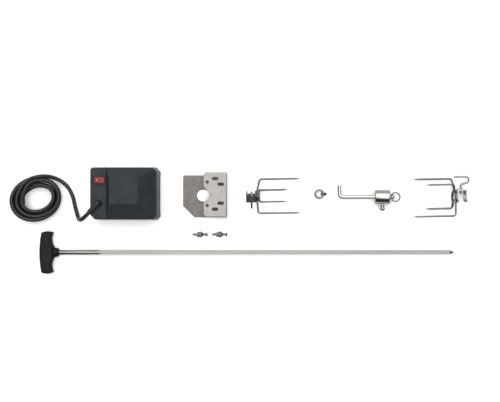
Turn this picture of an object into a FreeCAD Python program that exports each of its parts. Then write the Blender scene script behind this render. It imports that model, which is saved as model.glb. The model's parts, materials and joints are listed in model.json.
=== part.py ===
import FreeCAD, Part
import math
import os

# Rotisserie kit laid out flat: motor unit with its cord, mounting bracket, two bolts, two spit forks,
# stop ring, counterweight and the long spit with its handle. Millimetres, +Z up, table at z = 0.

V = FreeCAD.Vector

# ---------------------------------------------------------------- driving dimensions
BAR = 8.0                   # side of the square spit bar
BAR_HOLE = 8.7              # square holes that the bar passes through

# motor unit, plan limits at the rim where the two casing halves meet
CASE_LEFT = -323.5
CASE_RIGHT = -189.5
CASE_BOTTOM = -37.5
CASE_TOP = 68.3
CASE_DRAFT = 2.0            # the casing is this much wider all round at its back
CASE_WALL = 2.6
RIM_Z = 49.0                # height of the joint between the casing halves
PANEL_Z = 58.0              # switch panel on the left of the front cover
CROWN_Z = 85.0              # flat top of the raised gearbox cover
FLOOR_Z = 8.0               # inner face of the thick back, which holds the bracket slideway
CROWN_LEFT = -279.3
CROWN_RIGHT = -226.0
CROWN_BOTTOM = -5.2
CROWN_TOP = 43.8
CROWN_BULGE = 4.5           # the right edge of the crown bows out by this much
STEP_X = -292.0             # foot of the step between the panel and the raised cover
PILLARS = ((CASE_LEFT + 13, CASE_BOTTOM + 13), (CASE_RIGHT - 9, CASE_BOTTOM + 10),
           (CASE_RIGHT - 11, CASE_TOP - 11), (CASE_LEFT + 9, CASE_TOP - 8))

DRIVE_X = -237.0            # axis of the drive socket
DRIVE_Y = 15.2
DRIVE_Z = 5.2               # the drive stays above the slideway, so the bracket's plate can pass
SLIDE_THICK = 2.5           # slideway that takes the bracket's plate
SLIDE_LIP = 2.5
SLIDE_DEPTH = 94.0

# switch and cord gland, both on the panel
SWITCH_X = -304.4
SWITCH_Y = 42.5
BEZEL_L = 24.4
BEZEL_W = 16.8
ROCKER_L = 20.2
ROCKER_W = 12.2
ROCKER_TILT = 12.0
SWITCH_BODY_L = 22.4         # box of the switch behind the panel
SWITCH_BODY_W = 14.2
GLAND_X = -305.4
GLAND_Y = -3.6

# gear train: module, teeth and centre distance
MODULE = 1.0
PINION_TEETH = 12
WHEEL_TEETH = 48
CENTRES = 30.2
IDLER_BEARING = 146.0       # direction from the drive axis to the idler, degrees
MOTOR_BEARING = -68.6       # direction from the idler to the motor axis, degrees
PLATE_Z = 33.0              # gear plate, which carries the motor on its far side

# power cord
CORD = 8.0
COIL_X = -446.3             # centre of the coil's ring
COIL_Y = 4.8
COIL_OUT_A = 51.7
COIL_OUT_B = 45.8
COIL_IN_A = 30.0
COIL_IN_B = 22.3
COIL_HOLE_SHIFT = 4.2       # the strands bunch up on the right, so the hole sits off centre
COIL_LEAN = 22.0            # long axis of the oval, degrees from +X
COIL_HEIGHT = 17.0
COIL_TILT = 9.2             # the left side of the ring lies on the plug
BOOT_EXIT = V(-323.1, -22.7, 66.0)
LEAD_ROUTE = [BOOT_EXIT, V(-336.4, -37.05, 66.0), V(-349.5, -39.0, 38.0), V(-359.5, -36.0, 4.5),
              V(-366.5, -12.0, 4.1), V(-370.7, 10.0, 4.2), V(-381.5, 31.0, 4.2), V(-399.0, 45.0, 6.5),
              V(-419.0, 52.0, 18.0), V(-437.5, 50.5, 25.5)]
PLUG_X = -484.0
PLUG_Y = 1.5
TAIL_ROUTE = [V(-439.0, 38.5, 4.2), V(-453.0, 41.5, 4.1), V(-467.0, 40.0, 4.2),
              V(-478.5, 34.0, 5.2), V(PLUG_X, PLUG_Y + 23, 6.2)]

# mounting bracket, 2 mm sheet bent to a channel that is open on the left
SHEET = 2.0
PLATE_LEFT = -140.4
PLATE_BOTTOM = -34.4
PLATE_TOP = 53.8
WALL_X = -48.3
FLANGE_Z = 24.0
FLANGE_LEFT = -95.7
FLANGE_BOTTOM = -32.2
FLANGE_TOP = 59.2
BRACKET_HOLE_X = -98.1
BRACKET_HOLE_Y = 11.5
BRACKET_HOLE_R = 12.3

# bolts
BOLT_R = 2.1
BOLT_LENGTH = 28.3
BOLT_Y = -70.0
BOLT_Z = 5.5
BOLT_HEADS = (-92.1, -51.0)     # left face of each bolt's head

# forks
TINE = 3.9
OUTER_SPREAD = 80.0
OUTER_LENGTH = 86.0
INNER_SPREAD = 53.0
INNER_LENGTH = 61.0
OUTER_ROLL = 13.4           # plane of the outer tines about the spit axis
INNER_ROLL = -20.6
HUB_LENGTH = 21.0
HUB_WIDTH = 18.5
HUB_STRIP = 3.0
HUB_WEB = 15.8              # outer face of the web, from the spit axis
HUB_LEG = 11.0              # the legs reach this far past the axis
SCREW_R = 2.45
SCREW_SET = 10.0            # screw axis, back from the front face of the hub

# stop ring and counterweight
RING_R = 10.0
RING_BORE = 7.0
RING_HEIGHT = 9.0
WEIGHT_R = 14.5
WEIGHT_LENGTH = 31.0
WEIGHT_START = 72.8         # left end of the weight, from the rod's bent leg
BALANCE_RING_AT = 115.0
ROD_R = 4.0
ROD_LENGTH = 112.0

# spit
SPIT_LENGTH = 864.0
HANDLE_SPAN = 87.6
HANDLE_THICK = 21.0
JOURNAL_R = 4.8
JOURNAL_START = 38.5
JOURNAL_END = 122.0
SQUARE_START = 134.0

# where each loose piece lies: x, y, height of its axis, then yaw, pitch and roll in degrees
FORK_LEFT_AT = ((13.0, 10.2, 25.8), 0.9, 0.0, -41.4)
FORK_RIGHT_AT = ((429.7, 8.1, 11.5), 181.2, 0.0, 0.0)
RING_AT = ((145.0, 14.6, 0.0), 0.0, 0.0, 0.0)
BALANCE_AT = ((187.5, 8.3, 4.05), 0.0, -8.0, 0.0)
SPIT_AT = ((-437.4, -107.2, 10.7), 0.0, 0.44, 0.0)

pieces = {}


# ---------------------------------------------------------------- helpers
def box(x0, x1, y0, y1, z0, z1):
    return Part.makeBox(x1 - x0, y1 - y0, z1 - z0, V(x0, y0, z0))


def rod(start, end, radius):
    return Part.makeCylinder(radius, (end - start).Length, start, end - start)


def taper(start, end, radius_0, radius_1):
    return Part.makeCone(radius_0, radius_1, (end - start).Length, start, end - start)


def prism(corners, z0, z1):
    points = [V(x, y, z0) for x, y in corners]
    face = Part.Face(Part.makePolygon(points + points[:1]))
    return face.extrude(V(0, 0, z1 - z0))


def place(shape, spot):
    """Roll about X, pitch about Y, yaw about Z, then move to the spot."""
    at, yaw, pitch, roll = spot
    turned = shape.copy()
    turned.rotate(V(0, 0, 0), V(1, 0, 0), roll)
    turned.rotate(V(0, 0, 0), V(0, 1, 0), pitch)
    turned.rotate(V(0, 0, 0), V(0, 0, 1), yaw)
    turned.translate(V(*at))
    return turned


def rounded_path(points, radii):
    """Straight runs joined by tangent arcs of the given radii, one for each inner point."""
    edges = []
    last = points[0]
    for before, corner, after, radius in zip(points, points[1:], points[2:], radii):
        into = (before - corner).normalize()
        out = (after - corner).normalize()
        half = into.getAngle(out) / 2
        reach = radius / math.tan(half)
        middle = (into + out).normalize() * (radius / math.sin(half) - radius)
        enter = corner + into * reach
        leave = corner + out * reach
        edges.append(Part.LineSegment(last, enter).toShape())
        edges.append(Part.Arc(enter, corner + middle, leave).toShape())
        last = leave
    edges.append(Part.LineSegment(last, points[-1]).toShape())
    return Part.Wire(edges)


def sweep_round(path, radius):
    start = path.Edges[0]
    direction = start.tangentAt(start.FirstParameter)
    ring = Part.Wire([Part.makeCircle(radius, start.valueAt(start.FirstParameter), direction)])
    return path.makePipeShell([ring], True, False, 2)


def bent_wire(points, radii, radius):
    return sweep_round(rounded_path(points, radii), radius)


def route_radii(points):
    """The largest arc that each corner of a cord's route has room for."""
    radii = []
    for before, corner, after in zip(points, points[1:], points[2:]):
        short = min((before - corner).Length, (after - corner).Length)
        turn = math.pi - (before - corner).getAngle(after - corner)
        radii.append(0.45 * short / math.tan(turn / 2))
    return radii


def cord_tube(name, points):
    radii = route_radii(points)
    path = rounded_path(points, radii)
    tube = sweep_round(path, CORD / 2)
    ideal = math.pi * (CORD / 2) ** 2 * path.Length
    print(name, "length", round(path.Length, 1), "radii", [round(r, 1) for r in radii],
          "volume ratio", round(tube.Volume / ideal, 3))
    return tube


def polar(x, y, bearing, distance):
    angle = math.radians(bearing)
    return x + distance * math.cos(angle), y + distance * math.sin(angle)


# ---------------------------------------------------------------- motor unit: casing
def case_outline(grow, z):
    """Plan of the casing: one small and three larger clipped corners."""
    left, right = CASE_LEFT - grow, CASE_RIGHT + grow
    bottom, top = CASE_BOTTOM - grow, CASE_TOP + grow
    clips = (9.0, 6.5, 9.0, 3.5)
    return [V(left + clips[0], bottom, z), V(right - clips[1], bottom, z),
            V(right, bottom + clips[1], z), V(right, top - clips[2], z),
            V(right - clips[2], top, z), V(left + clips[3], top, z),
            V(left, top - clips[3], z), V(left, bottom + clips[0], z)]


def case_loft(levels):
    wires = []
    for grow, z in levels:
        corners = case_outline(grow, z)
        wires.append(Part.makePolygon(corners + corners[:1]))
    return Part.makeLoft(wires, True, True)


def rear_casing():
    shell = case_loft([(CASE_DRAFT - 1.5, 0), (CASE_DRAFT, 1.5), (0, RIM_Z)])
    inside = case_loft([(CASE_DRAFT - CASE_WALL, FLOOR_Z), (-CASE_WALL, RIM_Z + 1)])
    shell = shell.cut(inside)
    # slideway for the bracket's plate, open on the right
    mouth = CASE_RIGHT + CASE_DRAFT + 1
    half = (PLATE_TOP - PLATE_BOTTOM) / 2 + 0.5
    inner = CASE_RIGHT + CASE_DRAFT - SLIDE_DEPTH
    shell = shell.cut(box(inner, mouth, DRIVE_Y - half, DRIVE_Y + half,
                          SLIDE_LIP, SLIDE_LIP + SLIDE_THICK))
    shell = shell.cut(box(inner + 5, mouth, DRIVE_Y - half + 6, DRIVE_Y + half - 6, -1, SLIDE_LIP + 1))
    # seat of the drive bush
    shell = shell.cut(rod(V(DRIVE_X, DRIVE_Y, -1), V(DRIVE_X, DRIVE_Y, FLOOR_Z + 1), 11.0))
    # four screw pillars with screws driven from the back
    for x, y in PILLARS:
        pillar = rod(V(x, y, FLOOR_Z - 1), V(x, y, RIM_Z - 0.5), 4.2)
        shell = shell.fuse(pillar)
    for x, y in PILLARS:
        shell = shell.cut(rod(V(x, y, -1), V(x, y, RIM_Z + 1), 1.7))
        shell = shell.cut(rod(V(x, y, -1), V(x, y, 3.0), 3.3))
    return shell.removeSplitter()


def case_screws():
    screws = []
    for x, y in PILLARS:
        head = rod(V(x, y, 0.4), V(x, y, 2.9), 3.1)
        head = head.cut(box(x - 2.6, x + 2.6, y - 0.5, y + 0.5, 0, 1.6))
        head = head.cut(box(x - 0.5, x + 0.5, y - 2.6, y + 2.6, 0, 1.6))
        shank = rod(V(x, y, 2.9), V(x, y, RIM_Z + 3), 1.6)
        screws.append(head.fuse(shank))
    return Part.makeCompound(screws)


def crown_loft(left, right, bottom, top, z, rim, base_z, bulge):
    """Raised cover: an oblong rim drawn up to a smaller crown whose right edge bows out."""
    rim_left, rim_right, rim_bottom, rim_top = rim
    wires = []
    for x0, x1, y0, y1, height, bow in ((rim_left, rim_right, rim_bottom, rim_top, base_z, 0.6),
                                        (left, right, bottom, top, z, bulge)):
        a, b, c, d = V(x0, y0, height), V(x1, y0, height), V(x1, y1, height), V(x0, y1, height)
        edge = Part.Arc(b, V(x1 + bow, (y0 + y1) / 2, height), c).toShape()
        wires.append(Part.Wire([Part.LineSegment(a, b).toShape(), edge,
                                Part.LineSegment(c, d).toShape(), Part.LineSegment(d, a).toShape()]))
    return Part.makeLoft(wires, True, True)


def front_cover():
    inset = 0.6
    plan = case_loft([(-inset, RIM_Z), (-inset, CROWN_Z + 1)])
    rim = (STEP_X, CASE_RIGHT - inset - 0.6, CASE_BOTTOM + inset, CASE_TOP - inset)
    crown = crown_loft(CROWN_LEFT, CROWN_RIGHT, CROWN_BOTTOM, CROWN_TOP, CROWN_Z,
                       rim, RIM_Z + 4.5, CROWN_BULGE)
    base = box(CASE_LEFT, CASE_RIGHT + 3, CASE_BOTTOM, CASE_TOP, RIM_Z, RIM_Z + 4.5)
    panel = case_loft([(-inset, RIM_Z), (-inset, PANEL_Z - 1.5), (-inset - 1.5, PANEL_Z)])
    panel = panel.common(box(CASE_LEFT, CROWN_LEFT, CASE_BOTTOM, CASE_TOP, RIM_Z, PANEL_Z))
    panel = panel.cut(box(STEP_X + 1.6, CROWN_LEFT + 1, CASE_BOTTOM, CASE_TOP, RIM_Z + 4.5, PANEL_Z + 1))
    solid = base.fuse(crown).common(plan).fuse(panel)
    bosses = []
    for x, y in PILLARS:
        bosses.append(rod(V(x, y, RIM_Z), V(x, y, CROWN_Z), 4.2).common(solid))
    # hollow inside, with the same faces set back by the wall
    wall = CASE_WALL
    hollow_rim = (rim[0] + wall + 1, rim[1] - wall - 1.5, rim[2] + wall + 1.5, rim[3] - wall - 1.5)
    hollow = crown_loft(CROWN_LEFT + 1, CROWN_RIGHT - 1.5, CROWN_BOTTOM + 1.5, CROWN_TOP - 1.5,
                        CROWN_Z - wall, hollow_rim, RIM_Z - 1, CROWN_BULGE)
    room = case_loft([(-wall - inset, RIM_Z - 1), (-wall - inset, PANEL_Z - wall)])
    room = room.common(box(CASE_LEFT, STEP_X + 8, CASE_BOTTOM, CASE_TOP, RIM_Z - 1, PANEL_Z))
    solid = solid.cut(hollow).cut(room)
    solid = solid.fuse(bosses)
    for x, y in PILLARS:
        solid = solid.cut(rod(V(x, y, RIM_Z - 1), V(x, y, RIM_Z + 3.2), 1.65))
    # windows for the switch and the cord gland
    length, width = SWITCH_BODY_L / 2 + 0.1, SWITCH_BODY_W / 2 + 0.1
    solid = solid.cut(box(SWITCH_X - length, SWITCH_X + length, SWITCH_Y - width, SWITCH_Y + width,
                          PANEL_Z - 8, PANEL_Z + 1))
    solid = solid.cut(rod(V(GLAND_X, GLAND_Y, PANEL_Z - 8), V(GLAND_X, GLAND_Y, PANEL_Z + 1), 5.05))
    return solid.removeSplitter()


pieces["rear_casing"] = rear_casing()
pieces["front_cover"] = front_cover()
pieces["case_screws"] = case_screws()


# ---------------------------------------------------------------- motor unit: switch
def rounded_block(x, y, length, width, z0, z1, corner):
    block = box(x - length / 2, x + length / 2, y - width / 2, y + width / 2, z0, z1)
    upright = [e for e in block.Edges if abs(e.tangentAt(e.FirstParameter).z) > 0.9]
    return block.makeFillet(corner, upright)


def switch_bezel():
    flange = rounded_block(SWITCH_X, SWITCH_Y, BEZEL_L, BEZEL_W, PANEL_Z, PANEL_Z + 2.0, 1.5)
    length, width = SWITCH_BODY_L / 2, SWITCH_BODY_W / 2
    body = box(SWITCH_X - length, SWITCH_X + length, SWITCH_Y - width, SWITCH_Y + width,
               PANEL_Z - 15, PANEL_Z)
    well = box(SWITCH_X - ROCKER_L / 2 - 0.5, SWITCH_X + ROCKER_L / 2 + 0.5,
               SWITCH_Y - ROCKER_W / 2 - 0.1, SWITCH_Y + ROCKER_W / 2 + 0.1, PANEL_Z - 7, PANEL_Z + 3)
    shell = flange.fuse(body).cut(well)
    for side in (-4.5, 4.5):
        tab = box(SWITCH_X + side - 0.4, SWITCH_X + side + 0.4, SWITCH_Y - 2.4, SWITCH_Y + 2.4,
                  PANEL_Z - 21, PANEL_Z - 15)
        shell = shell.fuse(tab)
    return shell


def switch_rocker():
    """A shallow V on top, turned about a pin across its middle; it rests pressed down on the right."""
    half = ROCKER_L / 2
    outline = [(-half + 0.6, -2.2), (half - 0.6, -2.2), (half, 2.6), (0, 1.0), (-half, 2.6)]
    points = [V(x, -ROCKER_W / 2, z) for x, z in outline]
    rocker = Part.Face(Part.makePolygon(points + points[:1])).extrude(V(0, ROCKER_W, 0))
    rocker.rotate(V(0, 0, 0), V(0, 1, 0), ROCKER_TILT)
    rocker.translate(V(SWITCH_X, SWITCH_Y, PANEL_Z + 0.4))
    return rocker


pieces["switch_bezel"] = switch_bezel()
pieces["switch_rocker"] = switch_rocker()


# ---------------------------------------------------------------- motor unit: drive train
def gear(teeth, x, y, z0, z1, tooth_bearing, bore):
    """Spur gear with involute flanks; one tooth is centred on tooth_bearing."""
    pitch_r = MODULE * teeth / 2
    base_r = pitch_r * math.cos(math.radians(20))
    tip_r = pitch_r + MODULE
    root_r = pitch_r - 1.25 * MODULE
    half_pitch = math.pi / (2 * teeth) - 0.07 / pitch_r
    flare = math.tan(math.radians(20)) - math.radians(20)
    flank = []
    for radius in (max(base_r, root_r + 0.1), pitch_r, (pitch_r + tip_r) / 2, tip_r):
        pressure = math.acos(min(1.0, base_r / radius))
        flank.append((radius, half_pitch + flare - (math.tan(pressure) - pressure)))
    flank = [(root_r, flank[0][1] + 0.02)] + flank
    corners = []
    for tooth in range(teeth):
        middle = math.radians(tooth_bearing) + 2 * math.pi * tooth / teeth
        side = [(r, middle - a) for r, a in flank] + [(r, middle + a) for r, a in reversed(flank)]
        corners += [(x + r * math.cos(a), y + r * math.sin(a)) for r, a in side]
    blank = prism(corners, z0, z1)
    if bore:
        blank = blank.cut(rod(V(x, y, z0 - 1), V(x, y, z1 + 1), bore))
    return blank


IDLER_X, IDLER_Y = polar(DRIVE_X, DRIVE_Y, IDLER_BEARING, CENTRES)
MOTOR_X, MOTOR_Y = polar(IDLER_X, IDLER_Y, MOTOR_BEARING, CENTRES)
GAP = 180.0 / PINION_TEETH


def output_gear():
    wheel = gear(WHEEL_TEETH, DRIVE_X, DRIVE_Y, 12.0, 19.0, IDLER_BEARING, 0)
    hub = rod(V(DRIVE_X, DRIVE_Y, DRIVE_Z), V(DRIVE_X, DRIVE_Y, 21.5), 8.5)
    collar = rod(V(DRIVE_X, DRIVE_Y, 8.8), V(DRIVE_X, DRIVE_Y, 12.0), 12.0)
    pin = rod(V(DRIVE_X, DRIVE_Y, 21.5), V(DRIVE_X, DRIVE_Y, PLATE_Z + 3.5), 3.0)
    half = BAR_HOLE / 2
    socket = box(DRIVE_X - half, DRIVE_X + half, DRIVE_Y - half, DRIVE_Y + half, 0, 19.0)
    lead_in = taper(V(DRIVE_X, DRIVE_Y, DRIVE_Z - 0.1), V(DRIVE_X, DRIVE_Y, DRIVE_Z + 1.4), 7.2, 5.7)
    return wheel.fuse([hub, collar, pin]).cut(socket).cut(lead_in)


def drive_bush():
    bush = rod(V(DRIVE_X, DRIVE_Y, DRIVE_Z), V(DRIVE_X, DRIVE_Y, 8.6), 11.0)
    bush = bush.fuse(rod(V(DRIVE_X, DRIVE_Y, FLOOR_Z), V(DRIVE_X, DRIVE_Y, 8.6), 13.0))
    return bush.cut(rod(V(DRIVE_X, DRIVE_Y, 0), V(DRIVE_X, DRIVE_Y, 10), 8.55))


def idler_gear():
    small = gear(PINION_TEETH, IDLER_X, IDLER_Y, 11.5, 22.0, IDLER_BEARING + 180 + GAP, 1.55)
    large = gear(WHEEL_TEETH, IDLER_X, IDLER_Y, 22.0, 28.0, MOTOR_BEARING, 1.55)
    return small.fuse(large)


def idler_spindle():
    low = rod(V(IDLER_X, IDLER_Y, FLOOR_Z), V(IDLER_X, IDLER_Y, 11.2), 3.5)
    return low.fuse(rod(V(IDLER_X, IDLER_Y, 11.2), V(IDLER_X, IDLER_Y, PLATE_Z + 2), 1.5))


def motor_pinion():
    pinion = gear(PINION_TEETH, MOTOR_X, MOTOR_Y, 21.5, 29.5, MOTOR_BEARING + 180 + GAP, 0)
    return pinion.fuse(rod(V(MOTOR_X, MOTOR_Y, 29.5), V(MOTOR_X, MOTOR_Y, PLATE_Z + 8), 2.0))


def gear_plate():
    x0, x1, y0, y1 = IDLER_X - 32, DRIVE_X + 26, MOTOR_Y - 26, IDLER_Y + 25
    plate = rounded_block((x0 + x1) / 2, (y0 + y1) / 2, x1 - x0, y1 - y0, PLATE_Z, PLATE_Z + 2, 6)
    for x, y in ((x0 + 6, y0 + 6), (x1 - 6, y0 + 6), (x1 - 6, y1 - 6), (x0 + 6, y1 - 6)):
        plate = plate.fuse(rod(V(x, y, FLOOR_Z), V(x, y, PLATE_Z), 3.0))
    for x, y, radius in ((DRIVE_X, DRIVE_Y, 3.05), (IDLER_X, IDLER_Y, 1.5), (MOTOR_X, MOTOR_Y, 5.0)):
        plate = plate.cut(rod(V(x, y, PLATE_Z - 1), V(x, y, PLATE_Z + 3), radius))
    return plate


def motor_can():
    z0 = PLATE_Z + 2
    can = rod(V(MOTOR_X, MOTOR_Y, z0), V(MOTOR_X, MOTOR_Y, z0 + 24), 25.0)
    rim = rod(V(MOTOR_X, MOTOR_Y, z0 + 20), V(MOTOR_X, MOTOR_Y, z0 + 21.5), 26.0)
    can = can.fuse(rim)
    can = can.cut(rod(V(DRIVE_X, DRIVE_Y, z0 - 1), V(DRIVE_X, DRIVE_Y, z0 + 3), 4.0))
    return can.cut(rod(V(MOTOR_X, MOTOR_Y, z0 - 1), V(MOTOR_X, MOTOR_Y, z0 + 8), 2.05))


pieces["output_gear"] = output_gear()
pieces["drive_bush"] = drive_bush()
pieces["idler_gear"] = idler_gear()
pieces["idler_spindle"] = idler_spindle()
pieces["motor_pinion"] = motor_pinion()
pieces["gear_plate"] = gear_plate()
pieces["motor_can"] = motor_can()

# ---------------------------------------------------------------- motor unit: wiring
LEAD_R = 1.1
CAN_SIDE = MOTOR_X - 26.0


def lead(points, radius=4.0):
    return bent_wire([V(*p) for p in points], [radius] * (len(points) - 2), LEAD_R)


pieces["live_lead"] = lead([(GLAND_X - 1.6, GLAND_Y, 51), (GLAND_X - 1.6, GLAND_Y, 42),
                            (SWITCH_X - 4.5, SWITCH_Y, 29), (SWITCH_X - 4.5, SWITCH_Y, 37)], 3.0)
pieces["switch_lead"] = lead([(SWITCH_X + 4.5, SWITCH_Y, 37), (SWITCH_X + 4.5, SWITCH_Y, 32),
                              (CAN_SIDE - 8, MOTOR_Y + 3, 46), (CAN_SIDE + 1.05, MOTOR_Y + 3, 46)], 3.0)
pieces["neutral_lead"] = lead([(GLAND_X + 1.6, GLAND_Y, 51), (GLAND_X + 1.6, GLAND_Y, 44),
                               (CAN_SIDE - 8, MOTOR_Y - 3, 50), (CAN_SIDE + 1.05, MOTOR_Y - 3, 50)], 3.0)


# ---------------------------------------------------------------- power cord
def cord_boot():
    """Elbow strain relief: a flange on the panel, then a tapered sleeve laid over the panel's corner."""
    flange = rod(V(GLAND_X, GLAND_Y, PANEL_Z), V(GLAND_X, GLAND_Y, PANEL_Z + 2.2), 7.2)
    plug = rod(V(GLAND_X, GLAND_Y, PANEL_Z - 7), V(GLAND_X, GLAND_Y, PANEL_Z), 5.0)
    knee = V(GLAND_X, GLAND_Y, BOOT_EXIT.z)
    rise = rod(V(GLAND_X, GLAND_Y, PANEL_Z + 2.2), knee, 6.2)
    ball = Part.makeSphere(6.2, knee)
    sleeve = taper(knee, BOOT_EXIT, 6.2, 5.0)
    return flange.fuse([plug, rise, ball, sleeve]).removeSplitter()


def cord_coil():
    """The coiled cord as one oval ring with rounded rims, tilted over the plug."""
    rings = []
    for z, grow in ((0.0, -2.5), (3.0, 0.0), (COIL_HEIGHT - 3.0, 0.0), (COIL_HEIGHT, -2.5)):
        outer = Part.Ellipse(V(0, 0, z), COIL_OUT_A + grow, COIL_OUT_B + grow)
        inner = Part.Ellipse(V(0, 0, z), COIL_IN_A - grow, COIL_IN_B - grow)
        rings.append((Part.Wire([outer.toShape()]), Part.Wire([inner.toShape()])))
    outside = Part.makeLoft([pair[0] for pair in rings], True, True)
    inside = Part.makeLoft([pair[1] for pair in rings], True, True)
    for shape in (outside, inside):
        shape.rotate(V(0, 0, 0), V(0, 0, 1), COIL_LEAN)
    inside.translate(V(COIL_HOLE_SHIFT, 0, 0))
    ring = outside.cut(inside)
    ring.translate(V(COIL_X, COIL_Y, 0.0))
    ring.rotate(V(COIL_X + COIL_OUT_A, COIL_Y, 0), V(0, 1, 0), COIL_TILT)
    return ring


pieces["cord_boot"] = cord_boot()
pieces["power_cord"] = cord_tube("power_cord", LEAD_ROUTE)
pieces["cord_coil"] = cord_coil()
pieces["cord_tail"] = cord_tube("cord_tail", TAIL_ROUTE)

# ---------------------------------------------------------------- mains plug, under the coil


def plug_body():
    """Flat two-pin plug that lies on its broad side, pins towards -Y."""
    block = box(PLUG_X - 12, PLUG_X + 12, PLUG_Y - 12, PLUG_Y + 12, 0, 12.5)
    block = block.makeFillet(2.5, [e for e in block.Edges if abs(e.tangentAt(e.FirstParameter).y) > 0.9])
    waist = taper(V(PLUG_X, PLUG_Y + 23, 6.2), V(PLUG_X, PLUG_Y + 11, 6.2), 4.9, 6.2)
    return block.fuse(waist).removeSplitter()


def plug_pins():
    pins = []
    for side in (-6.35, 6.35):
        pins.append(box(PLUG_X + side - 0.75, PLUG_X + side + 0.75, PLUG_Y - 26, PLUG_Y - 12, 3.1, 9.4))
    return Part.makeCompound(pins)


pieces["plug_body"] = plug_body()
pieces["plug_pins"] = plug_pins()


# ---------------------------------------------------------------- mounting bracket
def slot_hole(x, y, length, width, z0, z1):
    reach = (length - width) / 2
    middle = box(x - reach, x + reach, y - width / 2, y + width / 2, z0, z1)
    ends = [rod(V(x + side * reach, y, z0), V(x + side * reach, y, z1), width / 2) for side in (-1, 1)]
    return middle.fuse(ends)


FLANGE_ROUND = ((-88.6, 39.2), (-88.6, -9.3))
FLANGE_SLOTS = ((-72.1, 46.3), (-60.5, 34.5), (-60.5, -4.5), (-72.1, -16.9))


def bracket():
    top = FLANGE_Z + SHEET
    wall_bottom, wall_top = PLATE_BOTTOM, FLANGE_TOP
    # channel section, bent round at both folds
    profile = box(PLATE_LEFT, WALL_X, wall_bottom, wall_top, 0, top)
    profile = profile.cut(box(PLATE_LEFT - 1, WALL_X - SHEET, wall_bottom - 1, wall_top + 1, SHEET, FLANGE_Z))
    folds = [e for e in profile.Edges
             if abs(e.tangentAt(e.FirstParameter).y) > 0.9 and abs(e.CenterOfMass.x - WALL_X) < 0.1]
    profile = profile.makeFillet(2.5, folds)
    body = profile.cut(box(PLATE_LEFT - 1, FLANGE_LEFT, wall_bottom - 1, wall_top + 1, FLANGE_Z - 1, top + 1))
    # the flange stops short at one end and the plate at the other
    fold_x = WALL_X - 3
    body = body.cut(box(PLATE_LEFT - 1, fold_x, PLATE_TOP, wall_top + 1, -1, SHEET + 1))
    body = body.cut(box(FLANGE_LEFT - 1, fold_x, wall_bottom - 1, FLANGE_BOTTOM, FLANGE_Z - 1, top + 1))
    # clipped and rounded corners
    body = body.cut(prism([(PLATE_LEFT - 1, PLATE_BOTTOM - 1), (PLATE_LEFT + 24, PLATE_BOTTOM - 1),
                           (PLATE_LEFT + 24, PLATE_BOTTOM), (PLATE_LEFT, PLATE_BOTTOM + 24),
                           (PLATE_LEFT - 1, PLATE_BOTTOM + 24)], -1, SHEET + 1))
    body = body.cut(prism([(PLATE_LEFT - 1, PLATE_TOP + 1), (PLATE_LEFT - 1, PLATE_TOP - 3),
                           (PLATE_LEFT, PLATE_TOP - 3), (PLATE_LEFT + 2.5, PLATE_TOP),
                           (PLATE_LEFT + 2.5, PLATE_TOP + 1)], -1, SHEET + 1))
    body = body.cut(prism([(FLANGE_LEFT - 1, FLANGE_BOTTOM - 1), (FLANGE_LEFT + 5, FLANGE_BOTTOM - 1),
                           (FLANGE_LEFT + 5, FLANGE_BOTTOM), (FLANGE_LEFT, FLANGE_BOTTOM + 5),
                           (FLANGE_LEFT - 1, FLANGE_BOTTOM + 5)], FLANGE_Z - 1, top + 1))
    body = body.cut(prism([(FLANGE_LEFT - 1, FLANGE_TOP + 1), (FLANGE_LEFT - 1, FLANGE_TOP - 4),
                           (FLANGE_LEFT, FLANGE_TOP - 4), (FLANGE_LEFT + 3, FLANGE_TOP),
                           (FLANGE_LEFT + 3, FLANGE_TOP + 1)], FLANGE_Z - 1, top + 1))
    # spit hole through the lower plate, V notch and fastening holes in the flange
    body = body.cut(slot_hole(BRACKET_HOLE_X + 1, BRACKET_HOLE_Y, 28, 2 * BRACKET_HOLE_R, -1, SHEET + 1))
    notch_y = BRACKET_HOLE_Y + 1.0
    notch_x = FLANGE_LEFT + 13.0
    body = body.cut(prism([(FLANGE_LEFT - 1, notch_y + 18.5), (FLANGE_LEFT, notch_y + 17.5),
                           (notch_x, notch_y + 3.6), (notch_x, notch_y - 3.6),
                           (FLANGE_LEFT, notch_y - 15.5), (FLANGE_LEFT - 1, notch_y - 16.5)],
                          FLANGE_Z - 1, top + 1))
    body = body.cut(rod(V(notch_x - 2.0, notch_y, FLANGE_Z - 1), V(notch_x - 2.0, notch_y, top + 1), 4.2))
    for x, y in FLANGE_ROUND:
        body = body.cut(rod(V(x, y, FLANGE_Z - 1), V(x, y, top + 1), 3.5))
    for x, y in FLANGE_SLOTS:
        body = body.cut(slot_hole(x, y, 13.5, 6.7, FLANGE_Z - 1, top + 1))
    return body.removeSplitter()


pieces["bracket"] = bracket()


# ---------------------------------------------------------------- bolts
def hexagon(x0, x1, y, z, across):
    corner = across / math.sqrt(3)
    points = [V(x0, y + corner * math.cos(math.radians(60 * k)), z + corner * math.sin(math.radians(60 * k)))
              for k in range(6)]
    return Part.Face(Part.makePolygon(points + points[:1])).extrude(V(x1 - x0, 0, 0))


def bolt(head_x):
    head = taper(V(head_x, BOLT_Y, BOLT_Z), V(head_x + 2.2, BOLT_Y, BOLT_Z), 2.4, 4.0)
    head = head.fuse(rod(V(head_x + 2.2, BOLT_Y, BOLT_Z), V(head_x + 3.4, BOLT_Y, BOLT_Z), 4.0))
    head = head.cut(box(head_x + 2.0, head_x + 4, BOLT_Y - 5, BOLT_Y + 5, BOLT_Z - 0.6, BOLT_Z + 0.6))
    shank = rod(V(head_x - BOLT_LENGTH + 1, BOLT_Y, BOLT_Z), V(head_x, BOLT_Y, BOLT_Z), BOLT_R)
    tip = taper(V(head_x - BOLT_LENGTH + 1, BOLT_Y, BOLT_Z), V(head_x - BOLT_LENGTH, BOLT_Y, BOLT_Z),
                BOLT_R, BOLT_R - 0.9)
    return head.fuse([shank, tip])


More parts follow.
